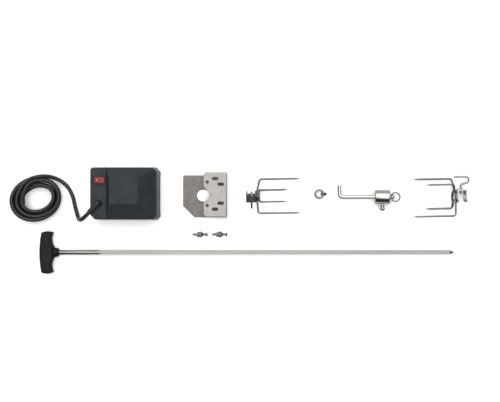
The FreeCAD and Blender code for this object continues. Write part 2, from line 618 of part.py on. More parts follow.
def collar(head_x):
    ring = rod(V(head_x - 18.7, BOLT_Y, BOLT_Z), V(head_x - 13.8, BOLT_Y, BOLT_Z), 4.9)
    return ring.cut(rod(V(head_x - 19, BOLT_Y, BOLT_Z), V(head_x - 13, BOLT_Y, BOLT_Z), BOLT_R + 0.05))


def nut(head_x):
    """Hexagon nut, chamfered to a short cone at the back and a long one towards the head."""
    block = hexagon(head_x - 13.7, head_x - 6.2, BOLT_Y, BOLT_Z, 11.0)
    back = taper(V(head_x - 13.7, BOLT_Y, BOLT_Z), V(head_x - 11.6, BOLT_Y, BOLT_Z), 5.2, 6.4)
    front = taper(V(head_x - 11.6, BOLT_Y, BOLT_Z), V(head_x - 6.2, BOLT_Y, BOLT_Z), 6.4, 3.2)
    block = block.common(back.fuse(front))
    return block.cut(rod(V(head_x - 14, BOLT_Y, BOLT_Z), V(head_x - 6, BOLT_Y, BOLT_Z), BOLT_R + 0.05))


for number, head_at in enumerate(BOLT_HEADS, 1):
    pieces["bolt_%d" % number] = bolt(head_at)
    pieces["bolt_%d_collar" % number] = collar(head_at)
    pieces["bolt_%d_nut" % number] = nut(head_at)


# ---------------------------------------------------------------- spit forks
# Fork frame: spit axis along X, tines towards +X, x = 0 at the front face of the hub.
def tine_pair(spread, lengths, corner_x, middle_x, jog):
    """A wire bent to a U; its middle steps round the square hole on the side given by jog.

    corner_x gives how far in front of the hub each of the two corners stands, and lengths each tip."""
    half = spread / 2
    near = [V(lengths[0] - 9, half, 0), V(corner_x[0], half, 0), V(middle_x, 12.0, 0), V(middle_x, 6.2, 8.4 * jog)]
    far = [V(lengths[1] - 9, -half, 0), V(corner_x[1], -half, 0), V(middle_x, -12.0, 0), V(middle_x, -6.2, 8.4 * jog)]
    route = near + far[::-1]
    wire = bent_wire(route, [6.0, 4.5, 4.5, 4.5, 4.5, 6.0], TINE / 2)
    for length, y in zip(lengths, (half, -half)):
        wire = wire.fuse(taper(V(length - 9, y, 0), V(length, y, 0), TINE / 2, 0.5))
    return wire


def fork_hub():
    """Strip bent to a U, with a square hole in each leg and the clamp screw's hole in the web."""
    strap = box(-HUB_LENGTH, 0, -HUB_WIDTH / 2, HUB_WIDTH / 2, -HUB_LEG, HUB_WEB)
    folds = [e for e in strap.Edges
             if abs(e.tangentAt(e.FirstParameter).y) > 0.9 and abs(e.CenterOfMass.z - HUB_WEB) < 0.1]
    strap = strap.makeFillet(3.5, folds)
    corners = [e for e in strap.Edges
               if abs(e.tangentAt(e.FirstParameter).x) > 0.9 and abs(e.CenterOfMass.z + HUB_LEG) < 0.1]
    strap = strap.makeFillet(5.0, corners)
    strap = strap.cut(box(-HUB_LENGTH + HUB_STRIP, -HUB_STRIP, -HUB_WIDTH, HUB_WIDTH,
                          -HUB_LEG - 1, HUB_WEB - HUB_STRIP))
    half = BAR_HOLE / 2
    strap = strap.cut(box(-HUB_LENGTH - 1, 1, -half, half, -half, half))
    return strap.cut(rod(V(-SCREW_SET, 0, 0), V(-SCREW_SET, 0, HUB_WEB + 1), SCREW_R + 0.05))


def clamp_screw():
    """Threaded stem with a handle bent from the same rod, drawn in the plane x = 0, z along the stem."""
    stem = rod(V(0, 0, 7.0), V(0, 0, 19.0), SCREW_R)
    handle = bent_wire([V(0, 0, 18.0), V(0, 0, 26.5), V(0, 16.5, 30.0), V(0, 16.5, 42.0), V(0, -13.8, 42.4)],
                       [3.2, 5.0, 5.4], 1.9)
    return stem.fuse(handle)


def fork(name, spot, strap_turn, handle_turn, corners, inner_shift, outer_extra, inner_extra):
    """outer_extra and inner_extra are how much longer than the shortest each tine was sheared."""
    outer = tine_pair(OUTER_SPREAD, [OUTER_LENGTH + extra for extra in outer_extra], corners, TINE / 2, 1)
    outer.rotate(V(0, 0, 0), V(1, 0, 0), OUTER_ROLL)
    inner = tine_pair(INNER_SPREAD, [INNER_LENGTH + extra for extra in inner_extra],
                      (1.5 * TINE, 1.5 * TINE), 1.5 * TINE, -1)
    inner.rotate(V(0, 0, 0), V(1, 0, 0), INNER_ROLL)
    inner.translate(V(0, inner_shift, 0))
    hub = fork_hub()
    screw = clamp_screw()
    screw.rotate(V(0, 0, 0), V(0, 0, 1), handle_turn)
    screw.translate(V(-SCREW_SET, 0, 0))
    for shape in (hub, screw):
        shape.rotate(V(0, 0, 0), V(1, 0, 0), strap_turn)
    pieces[name + "_hub"] = place(hub, spot)
    pieces[name + "_outer_tines"] = place(outer, spot)
    pieces[name + "_inner_tines"] = place(inner, spot)
    pieces[name + "_clamp_screw"] = place(screw, spot)


# both forks are welded by hand: hub turn, crossbar lean, inner pair's offset and lengths differ a little
fork("fork_left", FORK_LEFT_AT, 57.0, 0.0, (7.6, 3.4), 0.6, (6.0, 4.0), (5.0, 0.5))
fork("fork_right", FORK_RIGHT_AT, 90.0, 90.0, (4.2, 6.2), -1.6, (6.0, 0.0), (1.4, 4.0))


# ---------------------------------------------------------------- stop ring
def stop_ring():
    ring = rod(V(0, 0, 0), V(0, 0, RING_HEIGHT), RING_R)
    ring = ring.makeChamfer(0.8, [e for e in ring.Edges if e.Closed])
    ring = ring.cut(rod(V(0, 0, -1), V(0, 0, RING_HEIGHT + 1), RING_BORE))
    return ring.cut(rod(V(0, 0, RING_HEIGHT / 2), V(RING_R + 1, 0, RING_HEIGHT / 2), SCREW_R + 0.05))


def stop_ring_screw():
    z = RING_HEIGHT / 2
    stem = rod(V(3.8, 0, z), V(10.6, 0, z), SCREW_R)
    return stem.fuse(Part.makeSphere(3.1, V(12.4, 0, z)))


pieces["stop_ring"] = place(stop_ring(), RING_AT)
pieces["stop_ring_screw"] = place(stop_ring_screw(), RING_AT)


# ---------------------------------------------------------------- counterweight
# Frame: rod axis along X, x = 0 at the axis of the bent leg, which points to +Y.
def balance_rod():
    bend = bent_wire([V(0, 24.5, 0), V(0, 0, 0), V(ROD_LENGTH - 2, 0, 0)], [7.0], ROD_R)
    return bend.fuse(taper(V(ROD_LENGTH - 2, 0, 0), V(ROD_LENGTH, 0, 0), ROD_R, ROD_R - 1.2))


def balance_weight():
    body = rod(V(WEIGHT_START, 0, 0), V(WEIGHT_START + WEIGHT_LENGTH, 0, 0), WEIGHT_R)
    body = body.makeChamfer(1.6, [e for e in body.Edges if e.Closed])
    body = body.cut(rod(V(WEIGHT_START - 1, 0, 0), V(WEIGHT_START + 40, 0, 0), ROD_R + 0.08))
    x = WEIGHT_START + WEIGHT_LENGTH / 2
    return body.cut(rod(V(x, 0, 0), V(x, -WEIGHT_R - 1, 0), SCREW_R + 0.05))


def balance_thumbscrew():
    x = WEIGHT_START + WEIGHT_LENGTH / 2
    stem = rod(V(x, -ROD_R - 0.4, 0), V(x, -20, 0), SCREW_R)
    shoulder = taper(V(x, -18.2, 0), V(x, -20.6, 0), SCREW_R, 4.0)
    return stem.fuse([shoulder, Part.makeSphere(5.0, V(x, -24.0, 0))])


def balance_ring():
    at = BALANCE_RING_AT
    ring = rod(V(at, 0, -6), V(at, 0, 6), 10.2)
    ring = ring.makeChamfer(0.8, [e for e in ring.Edges if e.Closed])
    ring = ring.cut(rod(V(at, 0, -7), V(at, 0, 7), 7.6))
    return ring.cut(rod(V(at - 12, 0, 0), V(at, 0, 0), ROD_R + 0.05))


pieces["balance_rod"] = place(balance_rod(), BALANCE_AT)
pieces["balance_weight"] = place(balance_weight(), BALANCE_AT)
pieces["balance_thumbscrew"] = place(balance_thumbscrew(), BALANCE_AT)
pieces["balance_ring"] = place(balance_ring(), BALANCE_AT)


# ---------------------------------------------------------------- spit
# Frame: spit axis along X, x = 0 at the outer side of the handle, which spans Y.
def spit_handle():
    """T grip with a bowed outer side, two finger hollows each side of a thick middle, and a neck."""
    half = HANDLE_SPAN / 2
    outer = Part.Arc(V(4.2, -half + 2.0, 0), V(0, 0, 0), V(4.2, half - 2.0, 0)).toShape()
    top = Part.Arc(V(4.2, half - 2.0, 0), V(15, half, 0), V(27.5, half - 2.4, 0)).toShape()
    hollow_1 = Part.Arc(V(27.5, half - 2.4, 0), V(24.2, half - 20, 0), V(29.0, 11, 0)).toShape()
    middle = Part.LineSegment(V(29.0, 11, 0), V(29.0, -11, 0)).toShape()
    hollow_2 = Part.Arc(V(29.0, -11, 0), V(24.2, -half + 20, 0), V(27.5, -half + 2.4, 0)).toShape()
    bottom = Part.Arc(V(27.5, -half + 2.4, 0), V(15, -half, 0), V(4.2, -half + 2.0, 0)).toShape()
    face = Part.Face(Part.Wire([outer, top, hollow_1, middle, hollow_2, bottom]))
    thick = HANDLE_THICK
    grip = face.extrude(V(0, 0, thick))
    grip.translate(V(0, 0, -thick / 2))
    rims = [e for e in grip.Edges if abs(abs(e.CenterOfMass.z) - thick / 2) < 0.01]
    grip = grip.makeFillet(5.0, rims)
    return grip.cut(rod(V(12, 0, 0), V(30, 0, 0), JOURNAL_R))


def handle_ferrule():
    neck = taper(V(29.0, 0, 0), V(JOURNAL_START - 1.2, 0, 0), 9.6, 9.1)
    neck = neck.fuse(taper(V(JOURNAL_START - 1.2, 0, 0), V(JOURNAL_START, 0, 0), 9.1, 8.0))
    return neck.cut(rod(V(28, 0, 0), V(JOURNAL_START + 1, 0, 0), JOURNAL_R))


def spit_bar():
    journal = rod(V(12, 0, 0), V(JOURNAL_END, 0, 0), JOURNAL_R)
    half = BAR / 2
    square = box(JOURNAL_END, SPIT_LENGTH, -half, half, -half, half)
    shoulder = taper(V(JOURNAL_END - 0.5, 0, 0), V(SQUARE_START, 0, 0), JOURNAL_R, half)
    # four-sided point at the far end
    end = SPIT_LENGTH
    start = end - 9.0
    for turn in range(4):
        wedge = Part.Face(Part.makePolygon([V(start, half + 1, half), V(end + 1, half + 1, half),
                                            V(end + 1, half + 1, 0.4), V(start, half + 1, half)]))
        wedge = wedge.extrude(V(0, -BAR - 2, 0))
        wedge.rotate(V(0, 0, 0), V(1, 0, 0), 90 * turn)
        square = square.cut(wedge)
    return journal.fuse([square, shoulder]).removeSplitter()


pieces["spit_handle"] = place(spit_handle(), SPIT_AT)
pieces["handle_ferrule"] = place(handle_ferrule(), SPIT_AT)
pieces["spit_bar"] = place(spit_bar(), SPIT_AT)

# ---------------------------------------------------------------- origin and export
CORD_NODES = ("power_cord", "cord_coil", "cord_tail", "plug_body", "plug_pins")
solid_parts = Part.makeCompound([shape for name, shape in pieces.items() if name not in CORD_NODES])
limits = solid_parts.optimalBoundingBox(False, False)
SHIFT = V(-limits.Center.x, -limits.Center.y, 0)
print("shift", round(SHIFT.x, 3), round(SHIFT.y, 3), "lowest", round(limits.ZMin, 3))

os.makedirs("parts", exist_ok=True)
for name, shape in pieces.items():
    shape.translate(SHIFT)
    shape.exportStep("parts/%s.step" % name)
    size = shape.BoundBox
    print(name, shape.isValid(), len(shape.Solids), round(shape.Volume),
          [round(v, 1) for v in (size.XMin, size.XMax, size.YMin, size.YMax, size.ZMin, size.ZMax)])
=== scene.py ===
import json
import math
import random

import bmesh
import bpy
from mathutils import Matrix, Vector, noise


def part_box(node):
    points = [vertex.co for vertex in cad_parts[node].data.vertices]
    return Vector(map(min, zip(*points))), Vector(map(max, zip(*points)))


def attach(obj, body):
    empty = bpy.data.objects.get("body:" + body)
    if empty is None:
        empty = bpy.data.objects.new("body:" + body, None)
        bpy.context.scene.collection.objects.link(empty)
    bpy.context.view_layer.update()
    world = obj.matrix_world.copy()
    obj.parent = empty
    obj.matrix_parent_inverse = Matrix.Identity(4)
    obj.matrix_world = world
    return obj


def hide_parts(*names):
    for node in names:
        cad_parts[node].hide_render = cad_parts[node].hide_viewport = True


# Looks of the rotisserie kit: cord, strain relief, threads, welds, switch marks, materials and studio.
# All other lengths are in metres unless a comment says so.

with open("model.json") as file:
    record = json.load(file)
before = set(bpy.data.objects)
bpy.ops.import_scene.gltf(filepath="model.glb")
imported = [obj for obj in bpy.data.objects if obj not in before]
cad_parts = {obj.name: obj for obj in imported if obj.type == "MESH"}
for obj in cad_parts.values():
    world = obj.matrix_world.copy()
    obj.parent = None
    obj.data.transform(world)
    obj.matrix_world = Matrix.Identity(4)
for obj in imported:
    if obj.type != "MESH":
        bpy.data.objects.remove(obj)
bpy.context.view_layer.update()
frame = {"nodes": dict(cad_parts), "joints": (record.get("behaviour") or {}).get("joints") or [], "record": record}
cad_nodes = frame["nodes"]
joints = {joint["name"]: joint for joint in frame["joints"]}

# The gearbox's drive socket is known on the plan and in the row frame, so it ties the two together.
DRIVE_ON_PLAN = Vector((-237.0, 15.2, 0.0))
drive = Vector(joints["output_turn"]["pos_m"])
PLAN_ORIGIN = Vector((drive.x, drive.y, 0.0)) * 1000 - DRIVE_ON_PLAN


def plan(x, y, z):
    """A point of the plan, in mm, as a point of the row frame, in metres."""
    return (Vector((x, y, z)) + PLAN_ORIGIN) / 1000


# ---------------------------------------------------------------- camera
CAMERA_HEIGHT = 1500.0
VIEW_WIDTH = 1050.0         # width of the table that the long side of the picture takes in

SENSOR_WIDTH = 36.0

camera_data = bpy.data.cameras.new("camera")
camera_data.sensor_width = SENSOR_WIDTH
camera_data.lens = SENSOR_WIDTH * CAMERA_HEIGHT / VIEW_WIDTH
camera_data.clip_start = 0.05
camera_data.clip_end = 20.0
camera = bpy.data.objects.new("camera", camera_data)
camera.location = plan(0.0, 0.0, CAMERA_HEIGHT)
bpy.context.scene.collection.objects.link(camera)
bpy.context.scene.camera = camera
bpy.context.scene.view_settings.view_transform = "Standard"

# ---------------------------------------------------------------- power cord
CORD = 8.0
BOOT_EXIT = (-323.1, -22.7, 66.0)
LEAD_ROUTE = [BOOT_EXIT, (-336.4, -37.05, 66.0), (-349.5, -39.0, 38.0), (-359.5, -36.0, 4.5),
              (-366.5, -12.0, 4.1), (-370.7, 10.0, 4.2), (-381.5, 31.0, 4.2), (-399.0, 45.0, 6.5),
              (-419.0, 52.0, 18.0), (-437.5, 50.5, 28.0)]
TAIL_ROUTE = [(-453.0, 44.5, 8.0), (-467.0, 40.0, 4.6), (-478.5, 34.0, 5.2), (-484.0, 24.0, 6.2)]

COIL_X = -446.3
COIL_Y = 4.8
COIL_OUT = (53.9, 47.2)     # half axes of the coil's outside and of its hole
COIL_IN = (30.0, 22.3)
COIL_HOLE_SHIFT = 4.2       # the hole sits this far right of the outside's middle
COIL_TURN = math.radians(22.0)      # the ovals' long axes, from X
COIL_TILT = math.radians(9.2)       # the left side is raised by the plug under it
OUTER_STRAND_SHIFT = (-0.6, -1.2)   # outermost strands bulge to the left and to the near side
POINTS_PER_TURN = 16
COIL_FROM = 84.0            # bearings in degrees at which the coil starts and ends
COIL_TO = 84.0 + 5 * 360 + 334.0
SLOT_CHANGE = 55.0          # degrees over which a turn passes to its next slot
TABLE_GAP = 0.2
WANDER = 0.05
# Each turn's slot in the bundle on the left of the coil and on its right, where it stands higher and
# narrower: share of the way in from the outside, and height in mm.
SLOTS = (((0.0, 8.0), (0.0, 8.0)), ((0.5, 8.0), (0.0, 16.0)), ((1.0, 8.0), (1.0, 16.0)),
         ((0.92, 0.0), (0.94, 0.0)), ((0.5, 0.0), (1.0, 8.0)), ((0.08, 0.0), (0.06, 0.0)))


def smooth(share):
    """Eases from 0 to 1 as share goes from 0 to 1."""
    share = min(1.0, max(0.0, share))
    return share * share * (3 - 2 * share)


def coil_point(bearing, wander):
    """Centre of the cord at that bearing, in mm; each turn passes to the next slot as it starts."""
    turn, into = divmod(bearing - COIL_FROM, 360.0)
    turn = int(turn)
    angle = math.radians(bearing)
    right = (0.5 + 0.5 * math.cos(angle)) ** 2      # 0 on the left of the coil, 1 on its right
    step = smooth(into / SLOT_CHANGE)
    here, before = SLOTS[turn], SLOTS[max(0, turn - 1)]
    inward, height = [
        (1 - right) * ((1 - step) * before[0][k] + step * here[0][k])
        + right * ((1 - step) * before[1][k] + step * here[1][k]) for k in (0, 1)]
    inward += wander[turn][0] * math.sin(angle + wander[turn][1]) * (1 - right)
    half = [(1 - inward) * (COIL_OUT[k] - CORD / 2) + inward * (COIL_IN[k] + CORD / 2) for k in (0, 1)]
    x = half[0] * math.cos(angle) * math.cos(COIL_TURN) - half[1] * math.sin(angle) * math.sin(COIL_TURN)
    y = half[0] * math.cos(angle) * math.sin(COIL_TURN) + half[1] * math.sin(angle) * math.cos(COIL_TURN)
    x += inward * COIL_HOLE_SHIFT - COIL_OUT[0] + (1 - inward) * OUTER_STRAND_SHIFT[0]
    y += (1 - inward) * OUTER_STRAND_SHIFT[1]
    z = height + CORD / 2 + TABLE_GAP
    return (COIL_X + COIL_OUT[0] + x * math.cos(COIL_TILT) + z * math.sin(COIL_TILT),
            COIL_Y + y, z * math.cos(COIL_TILT) - x * math.sin(COIL_TILT))


def route_line():
    """Smooth line through lead, six turns of the coil and tail: one open NURBS curve, read back."""
    shake = random.Random(7)
    wander = [(shake.uniform(-WANDER, WANDER), shake.uniform(0, 2 * math.pi)) for _ in SLOTS]
    turns = (COIL_TO - COIL_FROM) / 360
    count = round(turns * POINTS_PER_TURN)
    coil = [coil_point(COIL_FROM + (COIL_TO - COIL_FROM) * i / count, wander) for i in range(count + 1)]
    route = [plan(*p) for p in LEAD_ROUTE + coil + TAIL_ROUTE]
    curve = bpy.data.curves.new("cord_route", "CURVE")
    curve.dimensions = "3D"
    spline = curve.splines.new("NURBS")
    spline.points.add(len(route) - 1)
    for point, place in zip(spline.points, route):
        point.co = (*place, 1.0)
    spline.order_u = 3
    spline.use_endpoint_u = True
    spline.resolution_u = 8
    guide = bpy.data.objects.new("cord_route", curve)
    bpy.context.scene.collection.objects.link(guide)
    bpy.context.view_layer.update()
    line_mesh = bpy.data.meshes.new_from_object(guide)
    line = [vertex.co.copy() for vertex in line_mesh.vertices]
    bpy.data.meshes.remove(line_mesh)
    bpy.data.objects.remove(guide)
    bpy.data.curves.remove(curve)
    return line


def make_cord():
    line = route_line()
    cord = lathe_along("mains_cord", line, [CORD / 2000] * len(line), "motor_unit", "cord_rubber", 28)
    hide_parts("power_cord", "cord_coil", "cord_tail")


# ---------------------------------------------------------------- material helpers
COLOUR_A, COLOUR_B, COLOUR_OUT = 6, 7, 2        # a Mix node's colour sockets


def linear(level):
    """Colour channel from 0 to 255 on the usual display curve, as linear light."""
    share = level / 255
    return share / 12.92 if share <= 0.04045 else ((share + 0.055) / 1.055) ** 2.4


def colour(red, green, blue):
    return (linear(red), linear(green), linear(blue), 1.0)


class Finish:
    """A procedural material under construction, in the piece's own coordinates."""

    def __init__(self, name, base, roughness, metallic=0.0, specular=0.5):
        self.material = bpy.data.materials.new(name)
        self.material.use_nodes = True
        self.nodes = self.material.node_tree.nodes
        self.links = self.material.node_tree.links
        self.shader = self.nodes["Principled BSDF"]
        self.shader.inputs["Base Color"].default_value = base
        self.shader.inputs["Roughness"].default_value = roughness
        self.shader.inputs["Metallic"].default_value = metallic
        self.shader.inputs["Specular IOR Level"].default_value = specular
        self.place = self.nodes.new("ShaderNodeTexCoord").outputs["Object"]
        self.height = None

    def stretched(self, scale):
        mapping = self.nodes.new("ShaderNodeMapping")
        mapping.inputs["Scale"].default_value = scale
        self.links.new(self.place, mapping.inputs["Vector"])
        return mapping.outputs["Vector"]

    def noise(self, scale, detail=4.0, stretch=None, roughness=0.55):
        node = self.nodes.new("ShaderNodeTexNoise")
        node.inputs["Scale"].default_value = scale
        node.inputs["Detail"].default_value = detail
        node.inputs["Roughness"].default_value = roughness
        self.links.new(self.stretched(stretch) if stretch else self.place, node.inputs["Vector"])
        return node.outputs["Fac"]

    def cells(self, scale):
        node = self.nodes.new("ShaderNodeTexVoronoi")
        node.inputs["Scale"].default_value = scale
        self.links.new(self.place, node.inputs["Vector"])
        return node.outputs["Color"]

    def ramp(self, factor, stops):
        node = self.nodes.new("ShaderNodeValToRGB")
        points = node.color_ramp.elements
        points[0].position, points[0].color = stops[0]
        points[1].position, points[1].color = stops[-1]
        for position, shade in stops[1:-1]:
            points.new(position).color = shade
        self.links.new(factor, node.inputs["Fac"])
        return node.outputs["Color"]

    def mix(self, factor, first, second):
        node = self.nodes.new("ShaderNodeMix")
        node.data_type = "RGBA"
        for socket, value in ((node.inputs["Factor"], factor), (node.inputs[COLOUR_A], first),
                              (node.inputs[COLOUR_B], second)):
            if isinstance(value, bpy.types.NodeSocket):
                self.links.new(value, socket)
            else:
                socket.default_value = value
        return node.outputs[COLOUR_OUT]

    def remap(self, factor, low, high, start=0.3, end=0.7):
        node = self.nodes.new("ShaderNodeMapRange")
        node.inputs["From Min"].default_value = start
        node.inputs["From Max"].default_value = end
        node.inputs["To Min"].default_value = low
        node.inputs["To Max"].default_value = high
        self.links.new(factor, node.inputs["Value"])
        return node.outputs["Result"]

    def between(self, axis, start, end):
        """0 before start and 1 past end, along one of the piece's own axes."""
        split = self.nodes.new("ShaderNodeSeparateXYZ")
        self.links.new(self.place, split.inputs["Vector"])
        return self.remap(split.outputs[axis], 0.0, 1.0, start, end)

    def paint(self, output):
        self.links.new(output, self.shader.inputs["Base Color"])

    def roughen(self, factor, low, high, start=0.3, end=0.7):
        self.links.new(self.remap(factor, low, high, start, end), self.shader.inputs["Roughness"])

    def bump(self, factor, strength, distance):
        node = self.nodes.new("ShaderNodeBump")
        node.inputs["Strength"].default_value = strength
        node.inputs["Distance"].default_value = distance
        self.links.new(factor, node.inputs["Height"])
        if self.height is not None:
            self.links.new(self.height, node.inputs["Normal"])
        self.height = node.outputs["Normal"]
        self.links.new(self.height, self.shader.inputs["Normal"])


def shade(base, share):
    """The same colour, lighter or darker."""
    return tuple(min(1.0, channel * share) for channel in base[:3]) + (1.0,)


def moulded(name, base, roughness, grain=1400.0, depth=0.00006, specular=0.25):
    """Moulded plastic: fine spark-eroded grain, faint flow clouds and scuffed gloss."""
    finish = Finish(name, base, roughness, specular=specular)
    clouds = finish.noise(38.0, 3.0)
    finish.paint(finish.ramp(clouds, [(0.3, shade(base, 0.86)), (0.7, shade(base, 1.14))]))
    finish.roughen(finish.noise(160.0, 5.0), roughness - 0.06, roughness + 0.08)
    finish.bump(finish.noise(grain, 3.0), 0.35, depth)
    finish.bump(finish.noise(90.0, 2.0), 0.12, 0.0002)
    return finish.material


def rubber(name, base):
    """Cable rubber: dull, slightly dusty, with faint drawing lines."""
    finish = Finish(name, base, 0.36, specular=0.55)
    dust = finish.noise(55.0, 6.0)
    finish.paint(finish.ramp(dust, [(0.35, base), (0.75, shade(base, 1.5))]))
    finish.roughen(finish.noise(220.0, 4.0), 0.28, 0.44)
    finish.bump(finish.noise(900.0, 3.0), 0.25, 0.00005)
    return finish.material


def plated(name, base, roughness, streak=None):
    """Bright plating over drawn or turned steel: fine lines, faint smears, small pits."""
    finish = Finish(name, base, roughness, metallic=1.0)
    smear = finish.noise(70.0, 4.0)
    finish.paint(finish.ramp(smear, [(0.3, shade(base, 0.9)), (0.7, shade(base, 1.06))]))
    finish.roughen(finish.noise(240.0, 5.0), max(0.04, roughness - 0.05), roughness + 0.07)
    lines = finish.noise(500.0, 4.0, stretch=streak or (0.08, 1.0, 1.0))
    finish.bump(lines, 0.18, 0.00004)
    finish.bump(finish.noise(1800.0, 2.0), 0.08, 0.00002)
    return finish.material


def dull_steel(name, base, roughness, spangle=900.0):
    """Zinc-plated steel: small crystals of slightly different grey, worn patches, fine scratches."""
    finish = Finish(name, base, roughness, metallic=0.85)
    crystals = finish.ramp(finish.cells(spangle), [(0.1, shade(base, 0.9)), (0.9, shade(base, 1.1))])
    patches = finish.noise(48.0, 5.0)
    finish.paint(finish.mix(finish.remap(patches, 0.1, 0.5), crystals, shade(base, 0.82)))
    finish.roughen(finish.noise(150.0, 5.0), roughness - 0.06, roughness + 0.1)
    finish.bump(finish.noise(420.0, 5.0, stretch=(0.15, 1.0, 1.0)), 0.15, 0.00006)
    finish.bump(finish.noise(1500.0, 2.0), 0.15, 0.00003)
    return finish.material


SPIT_START = -437.4         # on the plan: the spit's left end, where its round journal starts
JOURNAL_LENGTH = 128.0


def spit_finish():
    """One bar: its round journal by the handle is turned and plated, and the square length is rolled."""
    rolled = colour(176, 176, 173)
    chrome = colour(160, 160, 156)
    finish = Finish("spit_steel", rolled, 0.3, metallic=1.0)
    grain = finish.noise(260.0, 6.0, stretch=(0.04, 1.0, 1.0))
    shades = finish.ramp(grain, [(0.3, shade(rolled, 0.86)), (0.7, shade(rolled, 1.08))])
    journal_end = plan(SPIT_START + JOURNAL_LENGTH, 0, 0).x
    share = finish.between("X", journal_end - 0.0005, journal_end + 0.0005)
    finish.paint(finish.mix(share, chrome, shades))
    finish.roughen(share, 0.09, 0.34, 0.0, 1.0)
    finish.bump(grain, 0.1, 0.00003)
    return finish.material


# Heights of the bracket's painted shade blend: full painted shade up to the lower plate's top, flange colour from
# the flange's underside.
PLATE_TOP = 0.0035
FLANGE_UNDER = 0.019


def bracket_finish():
    """Bent sheet steel with fine grain. Painted shade: the lower plate is painted a darker grey than the flange,
    blended by height.
    """
    base = colour(168, 165, 161)
    finish = Finish("bracket_steel", base, 0.45, metallic=0.55)
    grain = finish.noise(300.0, 6.0, stretch=(1.0, 0.2, 1.0))
    bright = finish.ramp(grain, [(0.3, shade(base, 0.92)), (0.7, shade(base, 1.06))])
    grey = colour(117, 113, 109)
    plate_painted_shade = finish.ramp(finish.noise(120.0, 6.0), [(0.3, shade(grey, 0.86)), (0.7, shade(grey, 1.1))])
    # painted shade: darker grey on the lower plate, blending to the flange colour by height
    finish.paint(finish.mix(finish.between("Z", PLATE_TOP, FLANGE_UNDER), plate_painted_shade, bright))
    finish.roughen(finish.noise(90.0, 5.0), 0.38, 0.58)
    finish.bump(grain, 0.12, 0.00005)
    finish.bump(finish.noise(1300.0, 2.0), 0.15, 0.00003)
    return finish.material


FINISHES = {
    "casing_charcoal": moulded("casing_charcoal", colour(40, 44, 46), 0.5, 1500.0, 0.00005, 0.22),
    "switch_bezel_black": moulded("switch_bezel_black", colour(22, 20, 20), 0.3, 2200.0, 0.00002),
    "switch_red": moulded("switch_red", colour(112, 34, 32), 0.24, 2400.0, 0.00001, 0.4),
    "screw_zinc": dull_steel("screw_zinc", colour(168, 168, 164), 0.35),
    "gear_nylon": moulded("gear_nylon", colour(226, 224, 212), 0.42, 1200.0, 0.00002),
    "bush_brass": plated("bush_brass", colour(206, 172, 98), 0.3),
    "inner_steel": dull_steel("inner_steel", colour(170, 172, 174), 0.38),
    "lead_brown": rubber("lead_brown", colour(92, 58, 38)),
    "lead_red": rubber("lead_red", colour(150, 34, 30)),
    "lead_blue": rubber("lead_blue", colour(40, 84, 150)),
    "cord_rubber": rubber("cord_rubber", colour(29, 29, 30)),
    "plug_black": moulded("plug_black", colour(26, 26, 27), 0.46),
    "pin_brass": plated("pin_brass", colour(214, 184, 116), 0.22),
    "bracket_steel": bracket_finish(),
    "bolt_steel": dull_steel("bolt_steel", colour(132, 132, 129), 0.28, 1600.0),
    "fork_chrome": plated("fork_chrome", colour(144, 144, 144), 0.12),
    "clamp_screw_steel": plated("clamp_screw_steel", colour(176, 176, 175), 0.16),
    "ring_chrome": plated("ring_chrome", colour(122, 122, 121), 0.2, (1.0, 1.0, 0.08)),
    "knob_black": moulded("knob_black", colour(18, 18, 18), 0.25, 2400.0, 0.00001),
    "weight_chrome": plated("weight_chrome", colour(214, 212, 208), 0.09, (1.0, 0.1, 0.1)),
    "rod_steel": plated("rod_steel", colour(236, 235, 229), 0.16),
    "spit_steel": spit_finish(),
    "handle_black": moulded("handle_black", colour(17, 17, 18), 0.44, 1100.0, 0.00008),
}


def coat(piece, material):
    piece.data.materials.clear()
    piece.data.materials.append(material)


def wear(piece, slot_name):
    coat(piece, FINISHES[slot_name])


for subpart in frame["record"]["subparts"]:
    coat(cad_nodes[subpart["node"]], FINISHES[subpart["material_slot"]])
# Painted light: the rear casing gets a lighter copy of the casing plastic so its side wall shows lighter; its
# lower roughness and higher specular give a real sheen.
coat(cad_nodes["rear_casing"],
     moulded("casing_charcoal_rear_painted_light", colour(52, 55, 57), 0.3, 1500.0, 0.00003, 0.5))
# Painted light: the right fork's hub gets a much lighter copy of the fork chrome, so its faces show near white.
coat(cad_nodes["fork_right_hub"], plated("fork_chrome_painted_light", colour(206, 206, 205), 0.3))


# ---------------------------------------------------------------- mesh helpers
def piece_from(name, vertices, faces, body, slot_name):
    mesh = bpy.data.meshes.new(name)
    mesh.from_pydata(vertices, [], faces)
    mesh.polygons.foreach_set("use_smooth", [True] * len(mesh.polygons))
    mesh.update()
    piece = bpy.data.objects.new(name, mesh)
    bpy.context.scene.collection.objects.link(piece)
    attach(piece, body)
    wear(piece, slot_name)
    return piece


def across(direction):
    """Two unit vectors square to a direction."""
    side = direction.orthogonal().normalized()
    return side, direction.cross(side).normalized()


def lathe_along(name, path, radii, body, slot_name, sides=40):
    """Closed skin round a path, with its own radius at each point of the path."""
    vertices, faces = [], []
    side = None
    for i, centre in enumerate(path):
        ahead = (path[min(i + 1, len(path) - 1)] - path[max(i - 1, 0)]).normalized()
        if side is None:
            side = across(ahead)[0]
        side = (side - ahead * side.dot(ahead)).normalized()
        up = ahead.cross(side)
        for k in range(sides):
            angle = 2 * math.pi * k / sides
            vertices.append(centre + radii[i] * (math.cos(angle) * side + math.sin(angle) * up))
    for i in range(len(path) - 1):
        for k in range(sides):
            a, b = i * sides + k, i * sides + (k + 1) % sides
            faces.append((a, b, b + sides, a + sides))
    faces.append(tuple(reversed(range(sides))))
    faces.append(tuple(range((len(path) - 1) * sides, len(path) * sides)))
    return piece_from(name, vertices, faces, body, slot_name)


THREAD_PROUD = 0.0001       # a ridge stands this far out of its shaft
THREAD_ROOT = 0.00025       # and its foot is sunk this far into it
THREAD_SIDES = 28


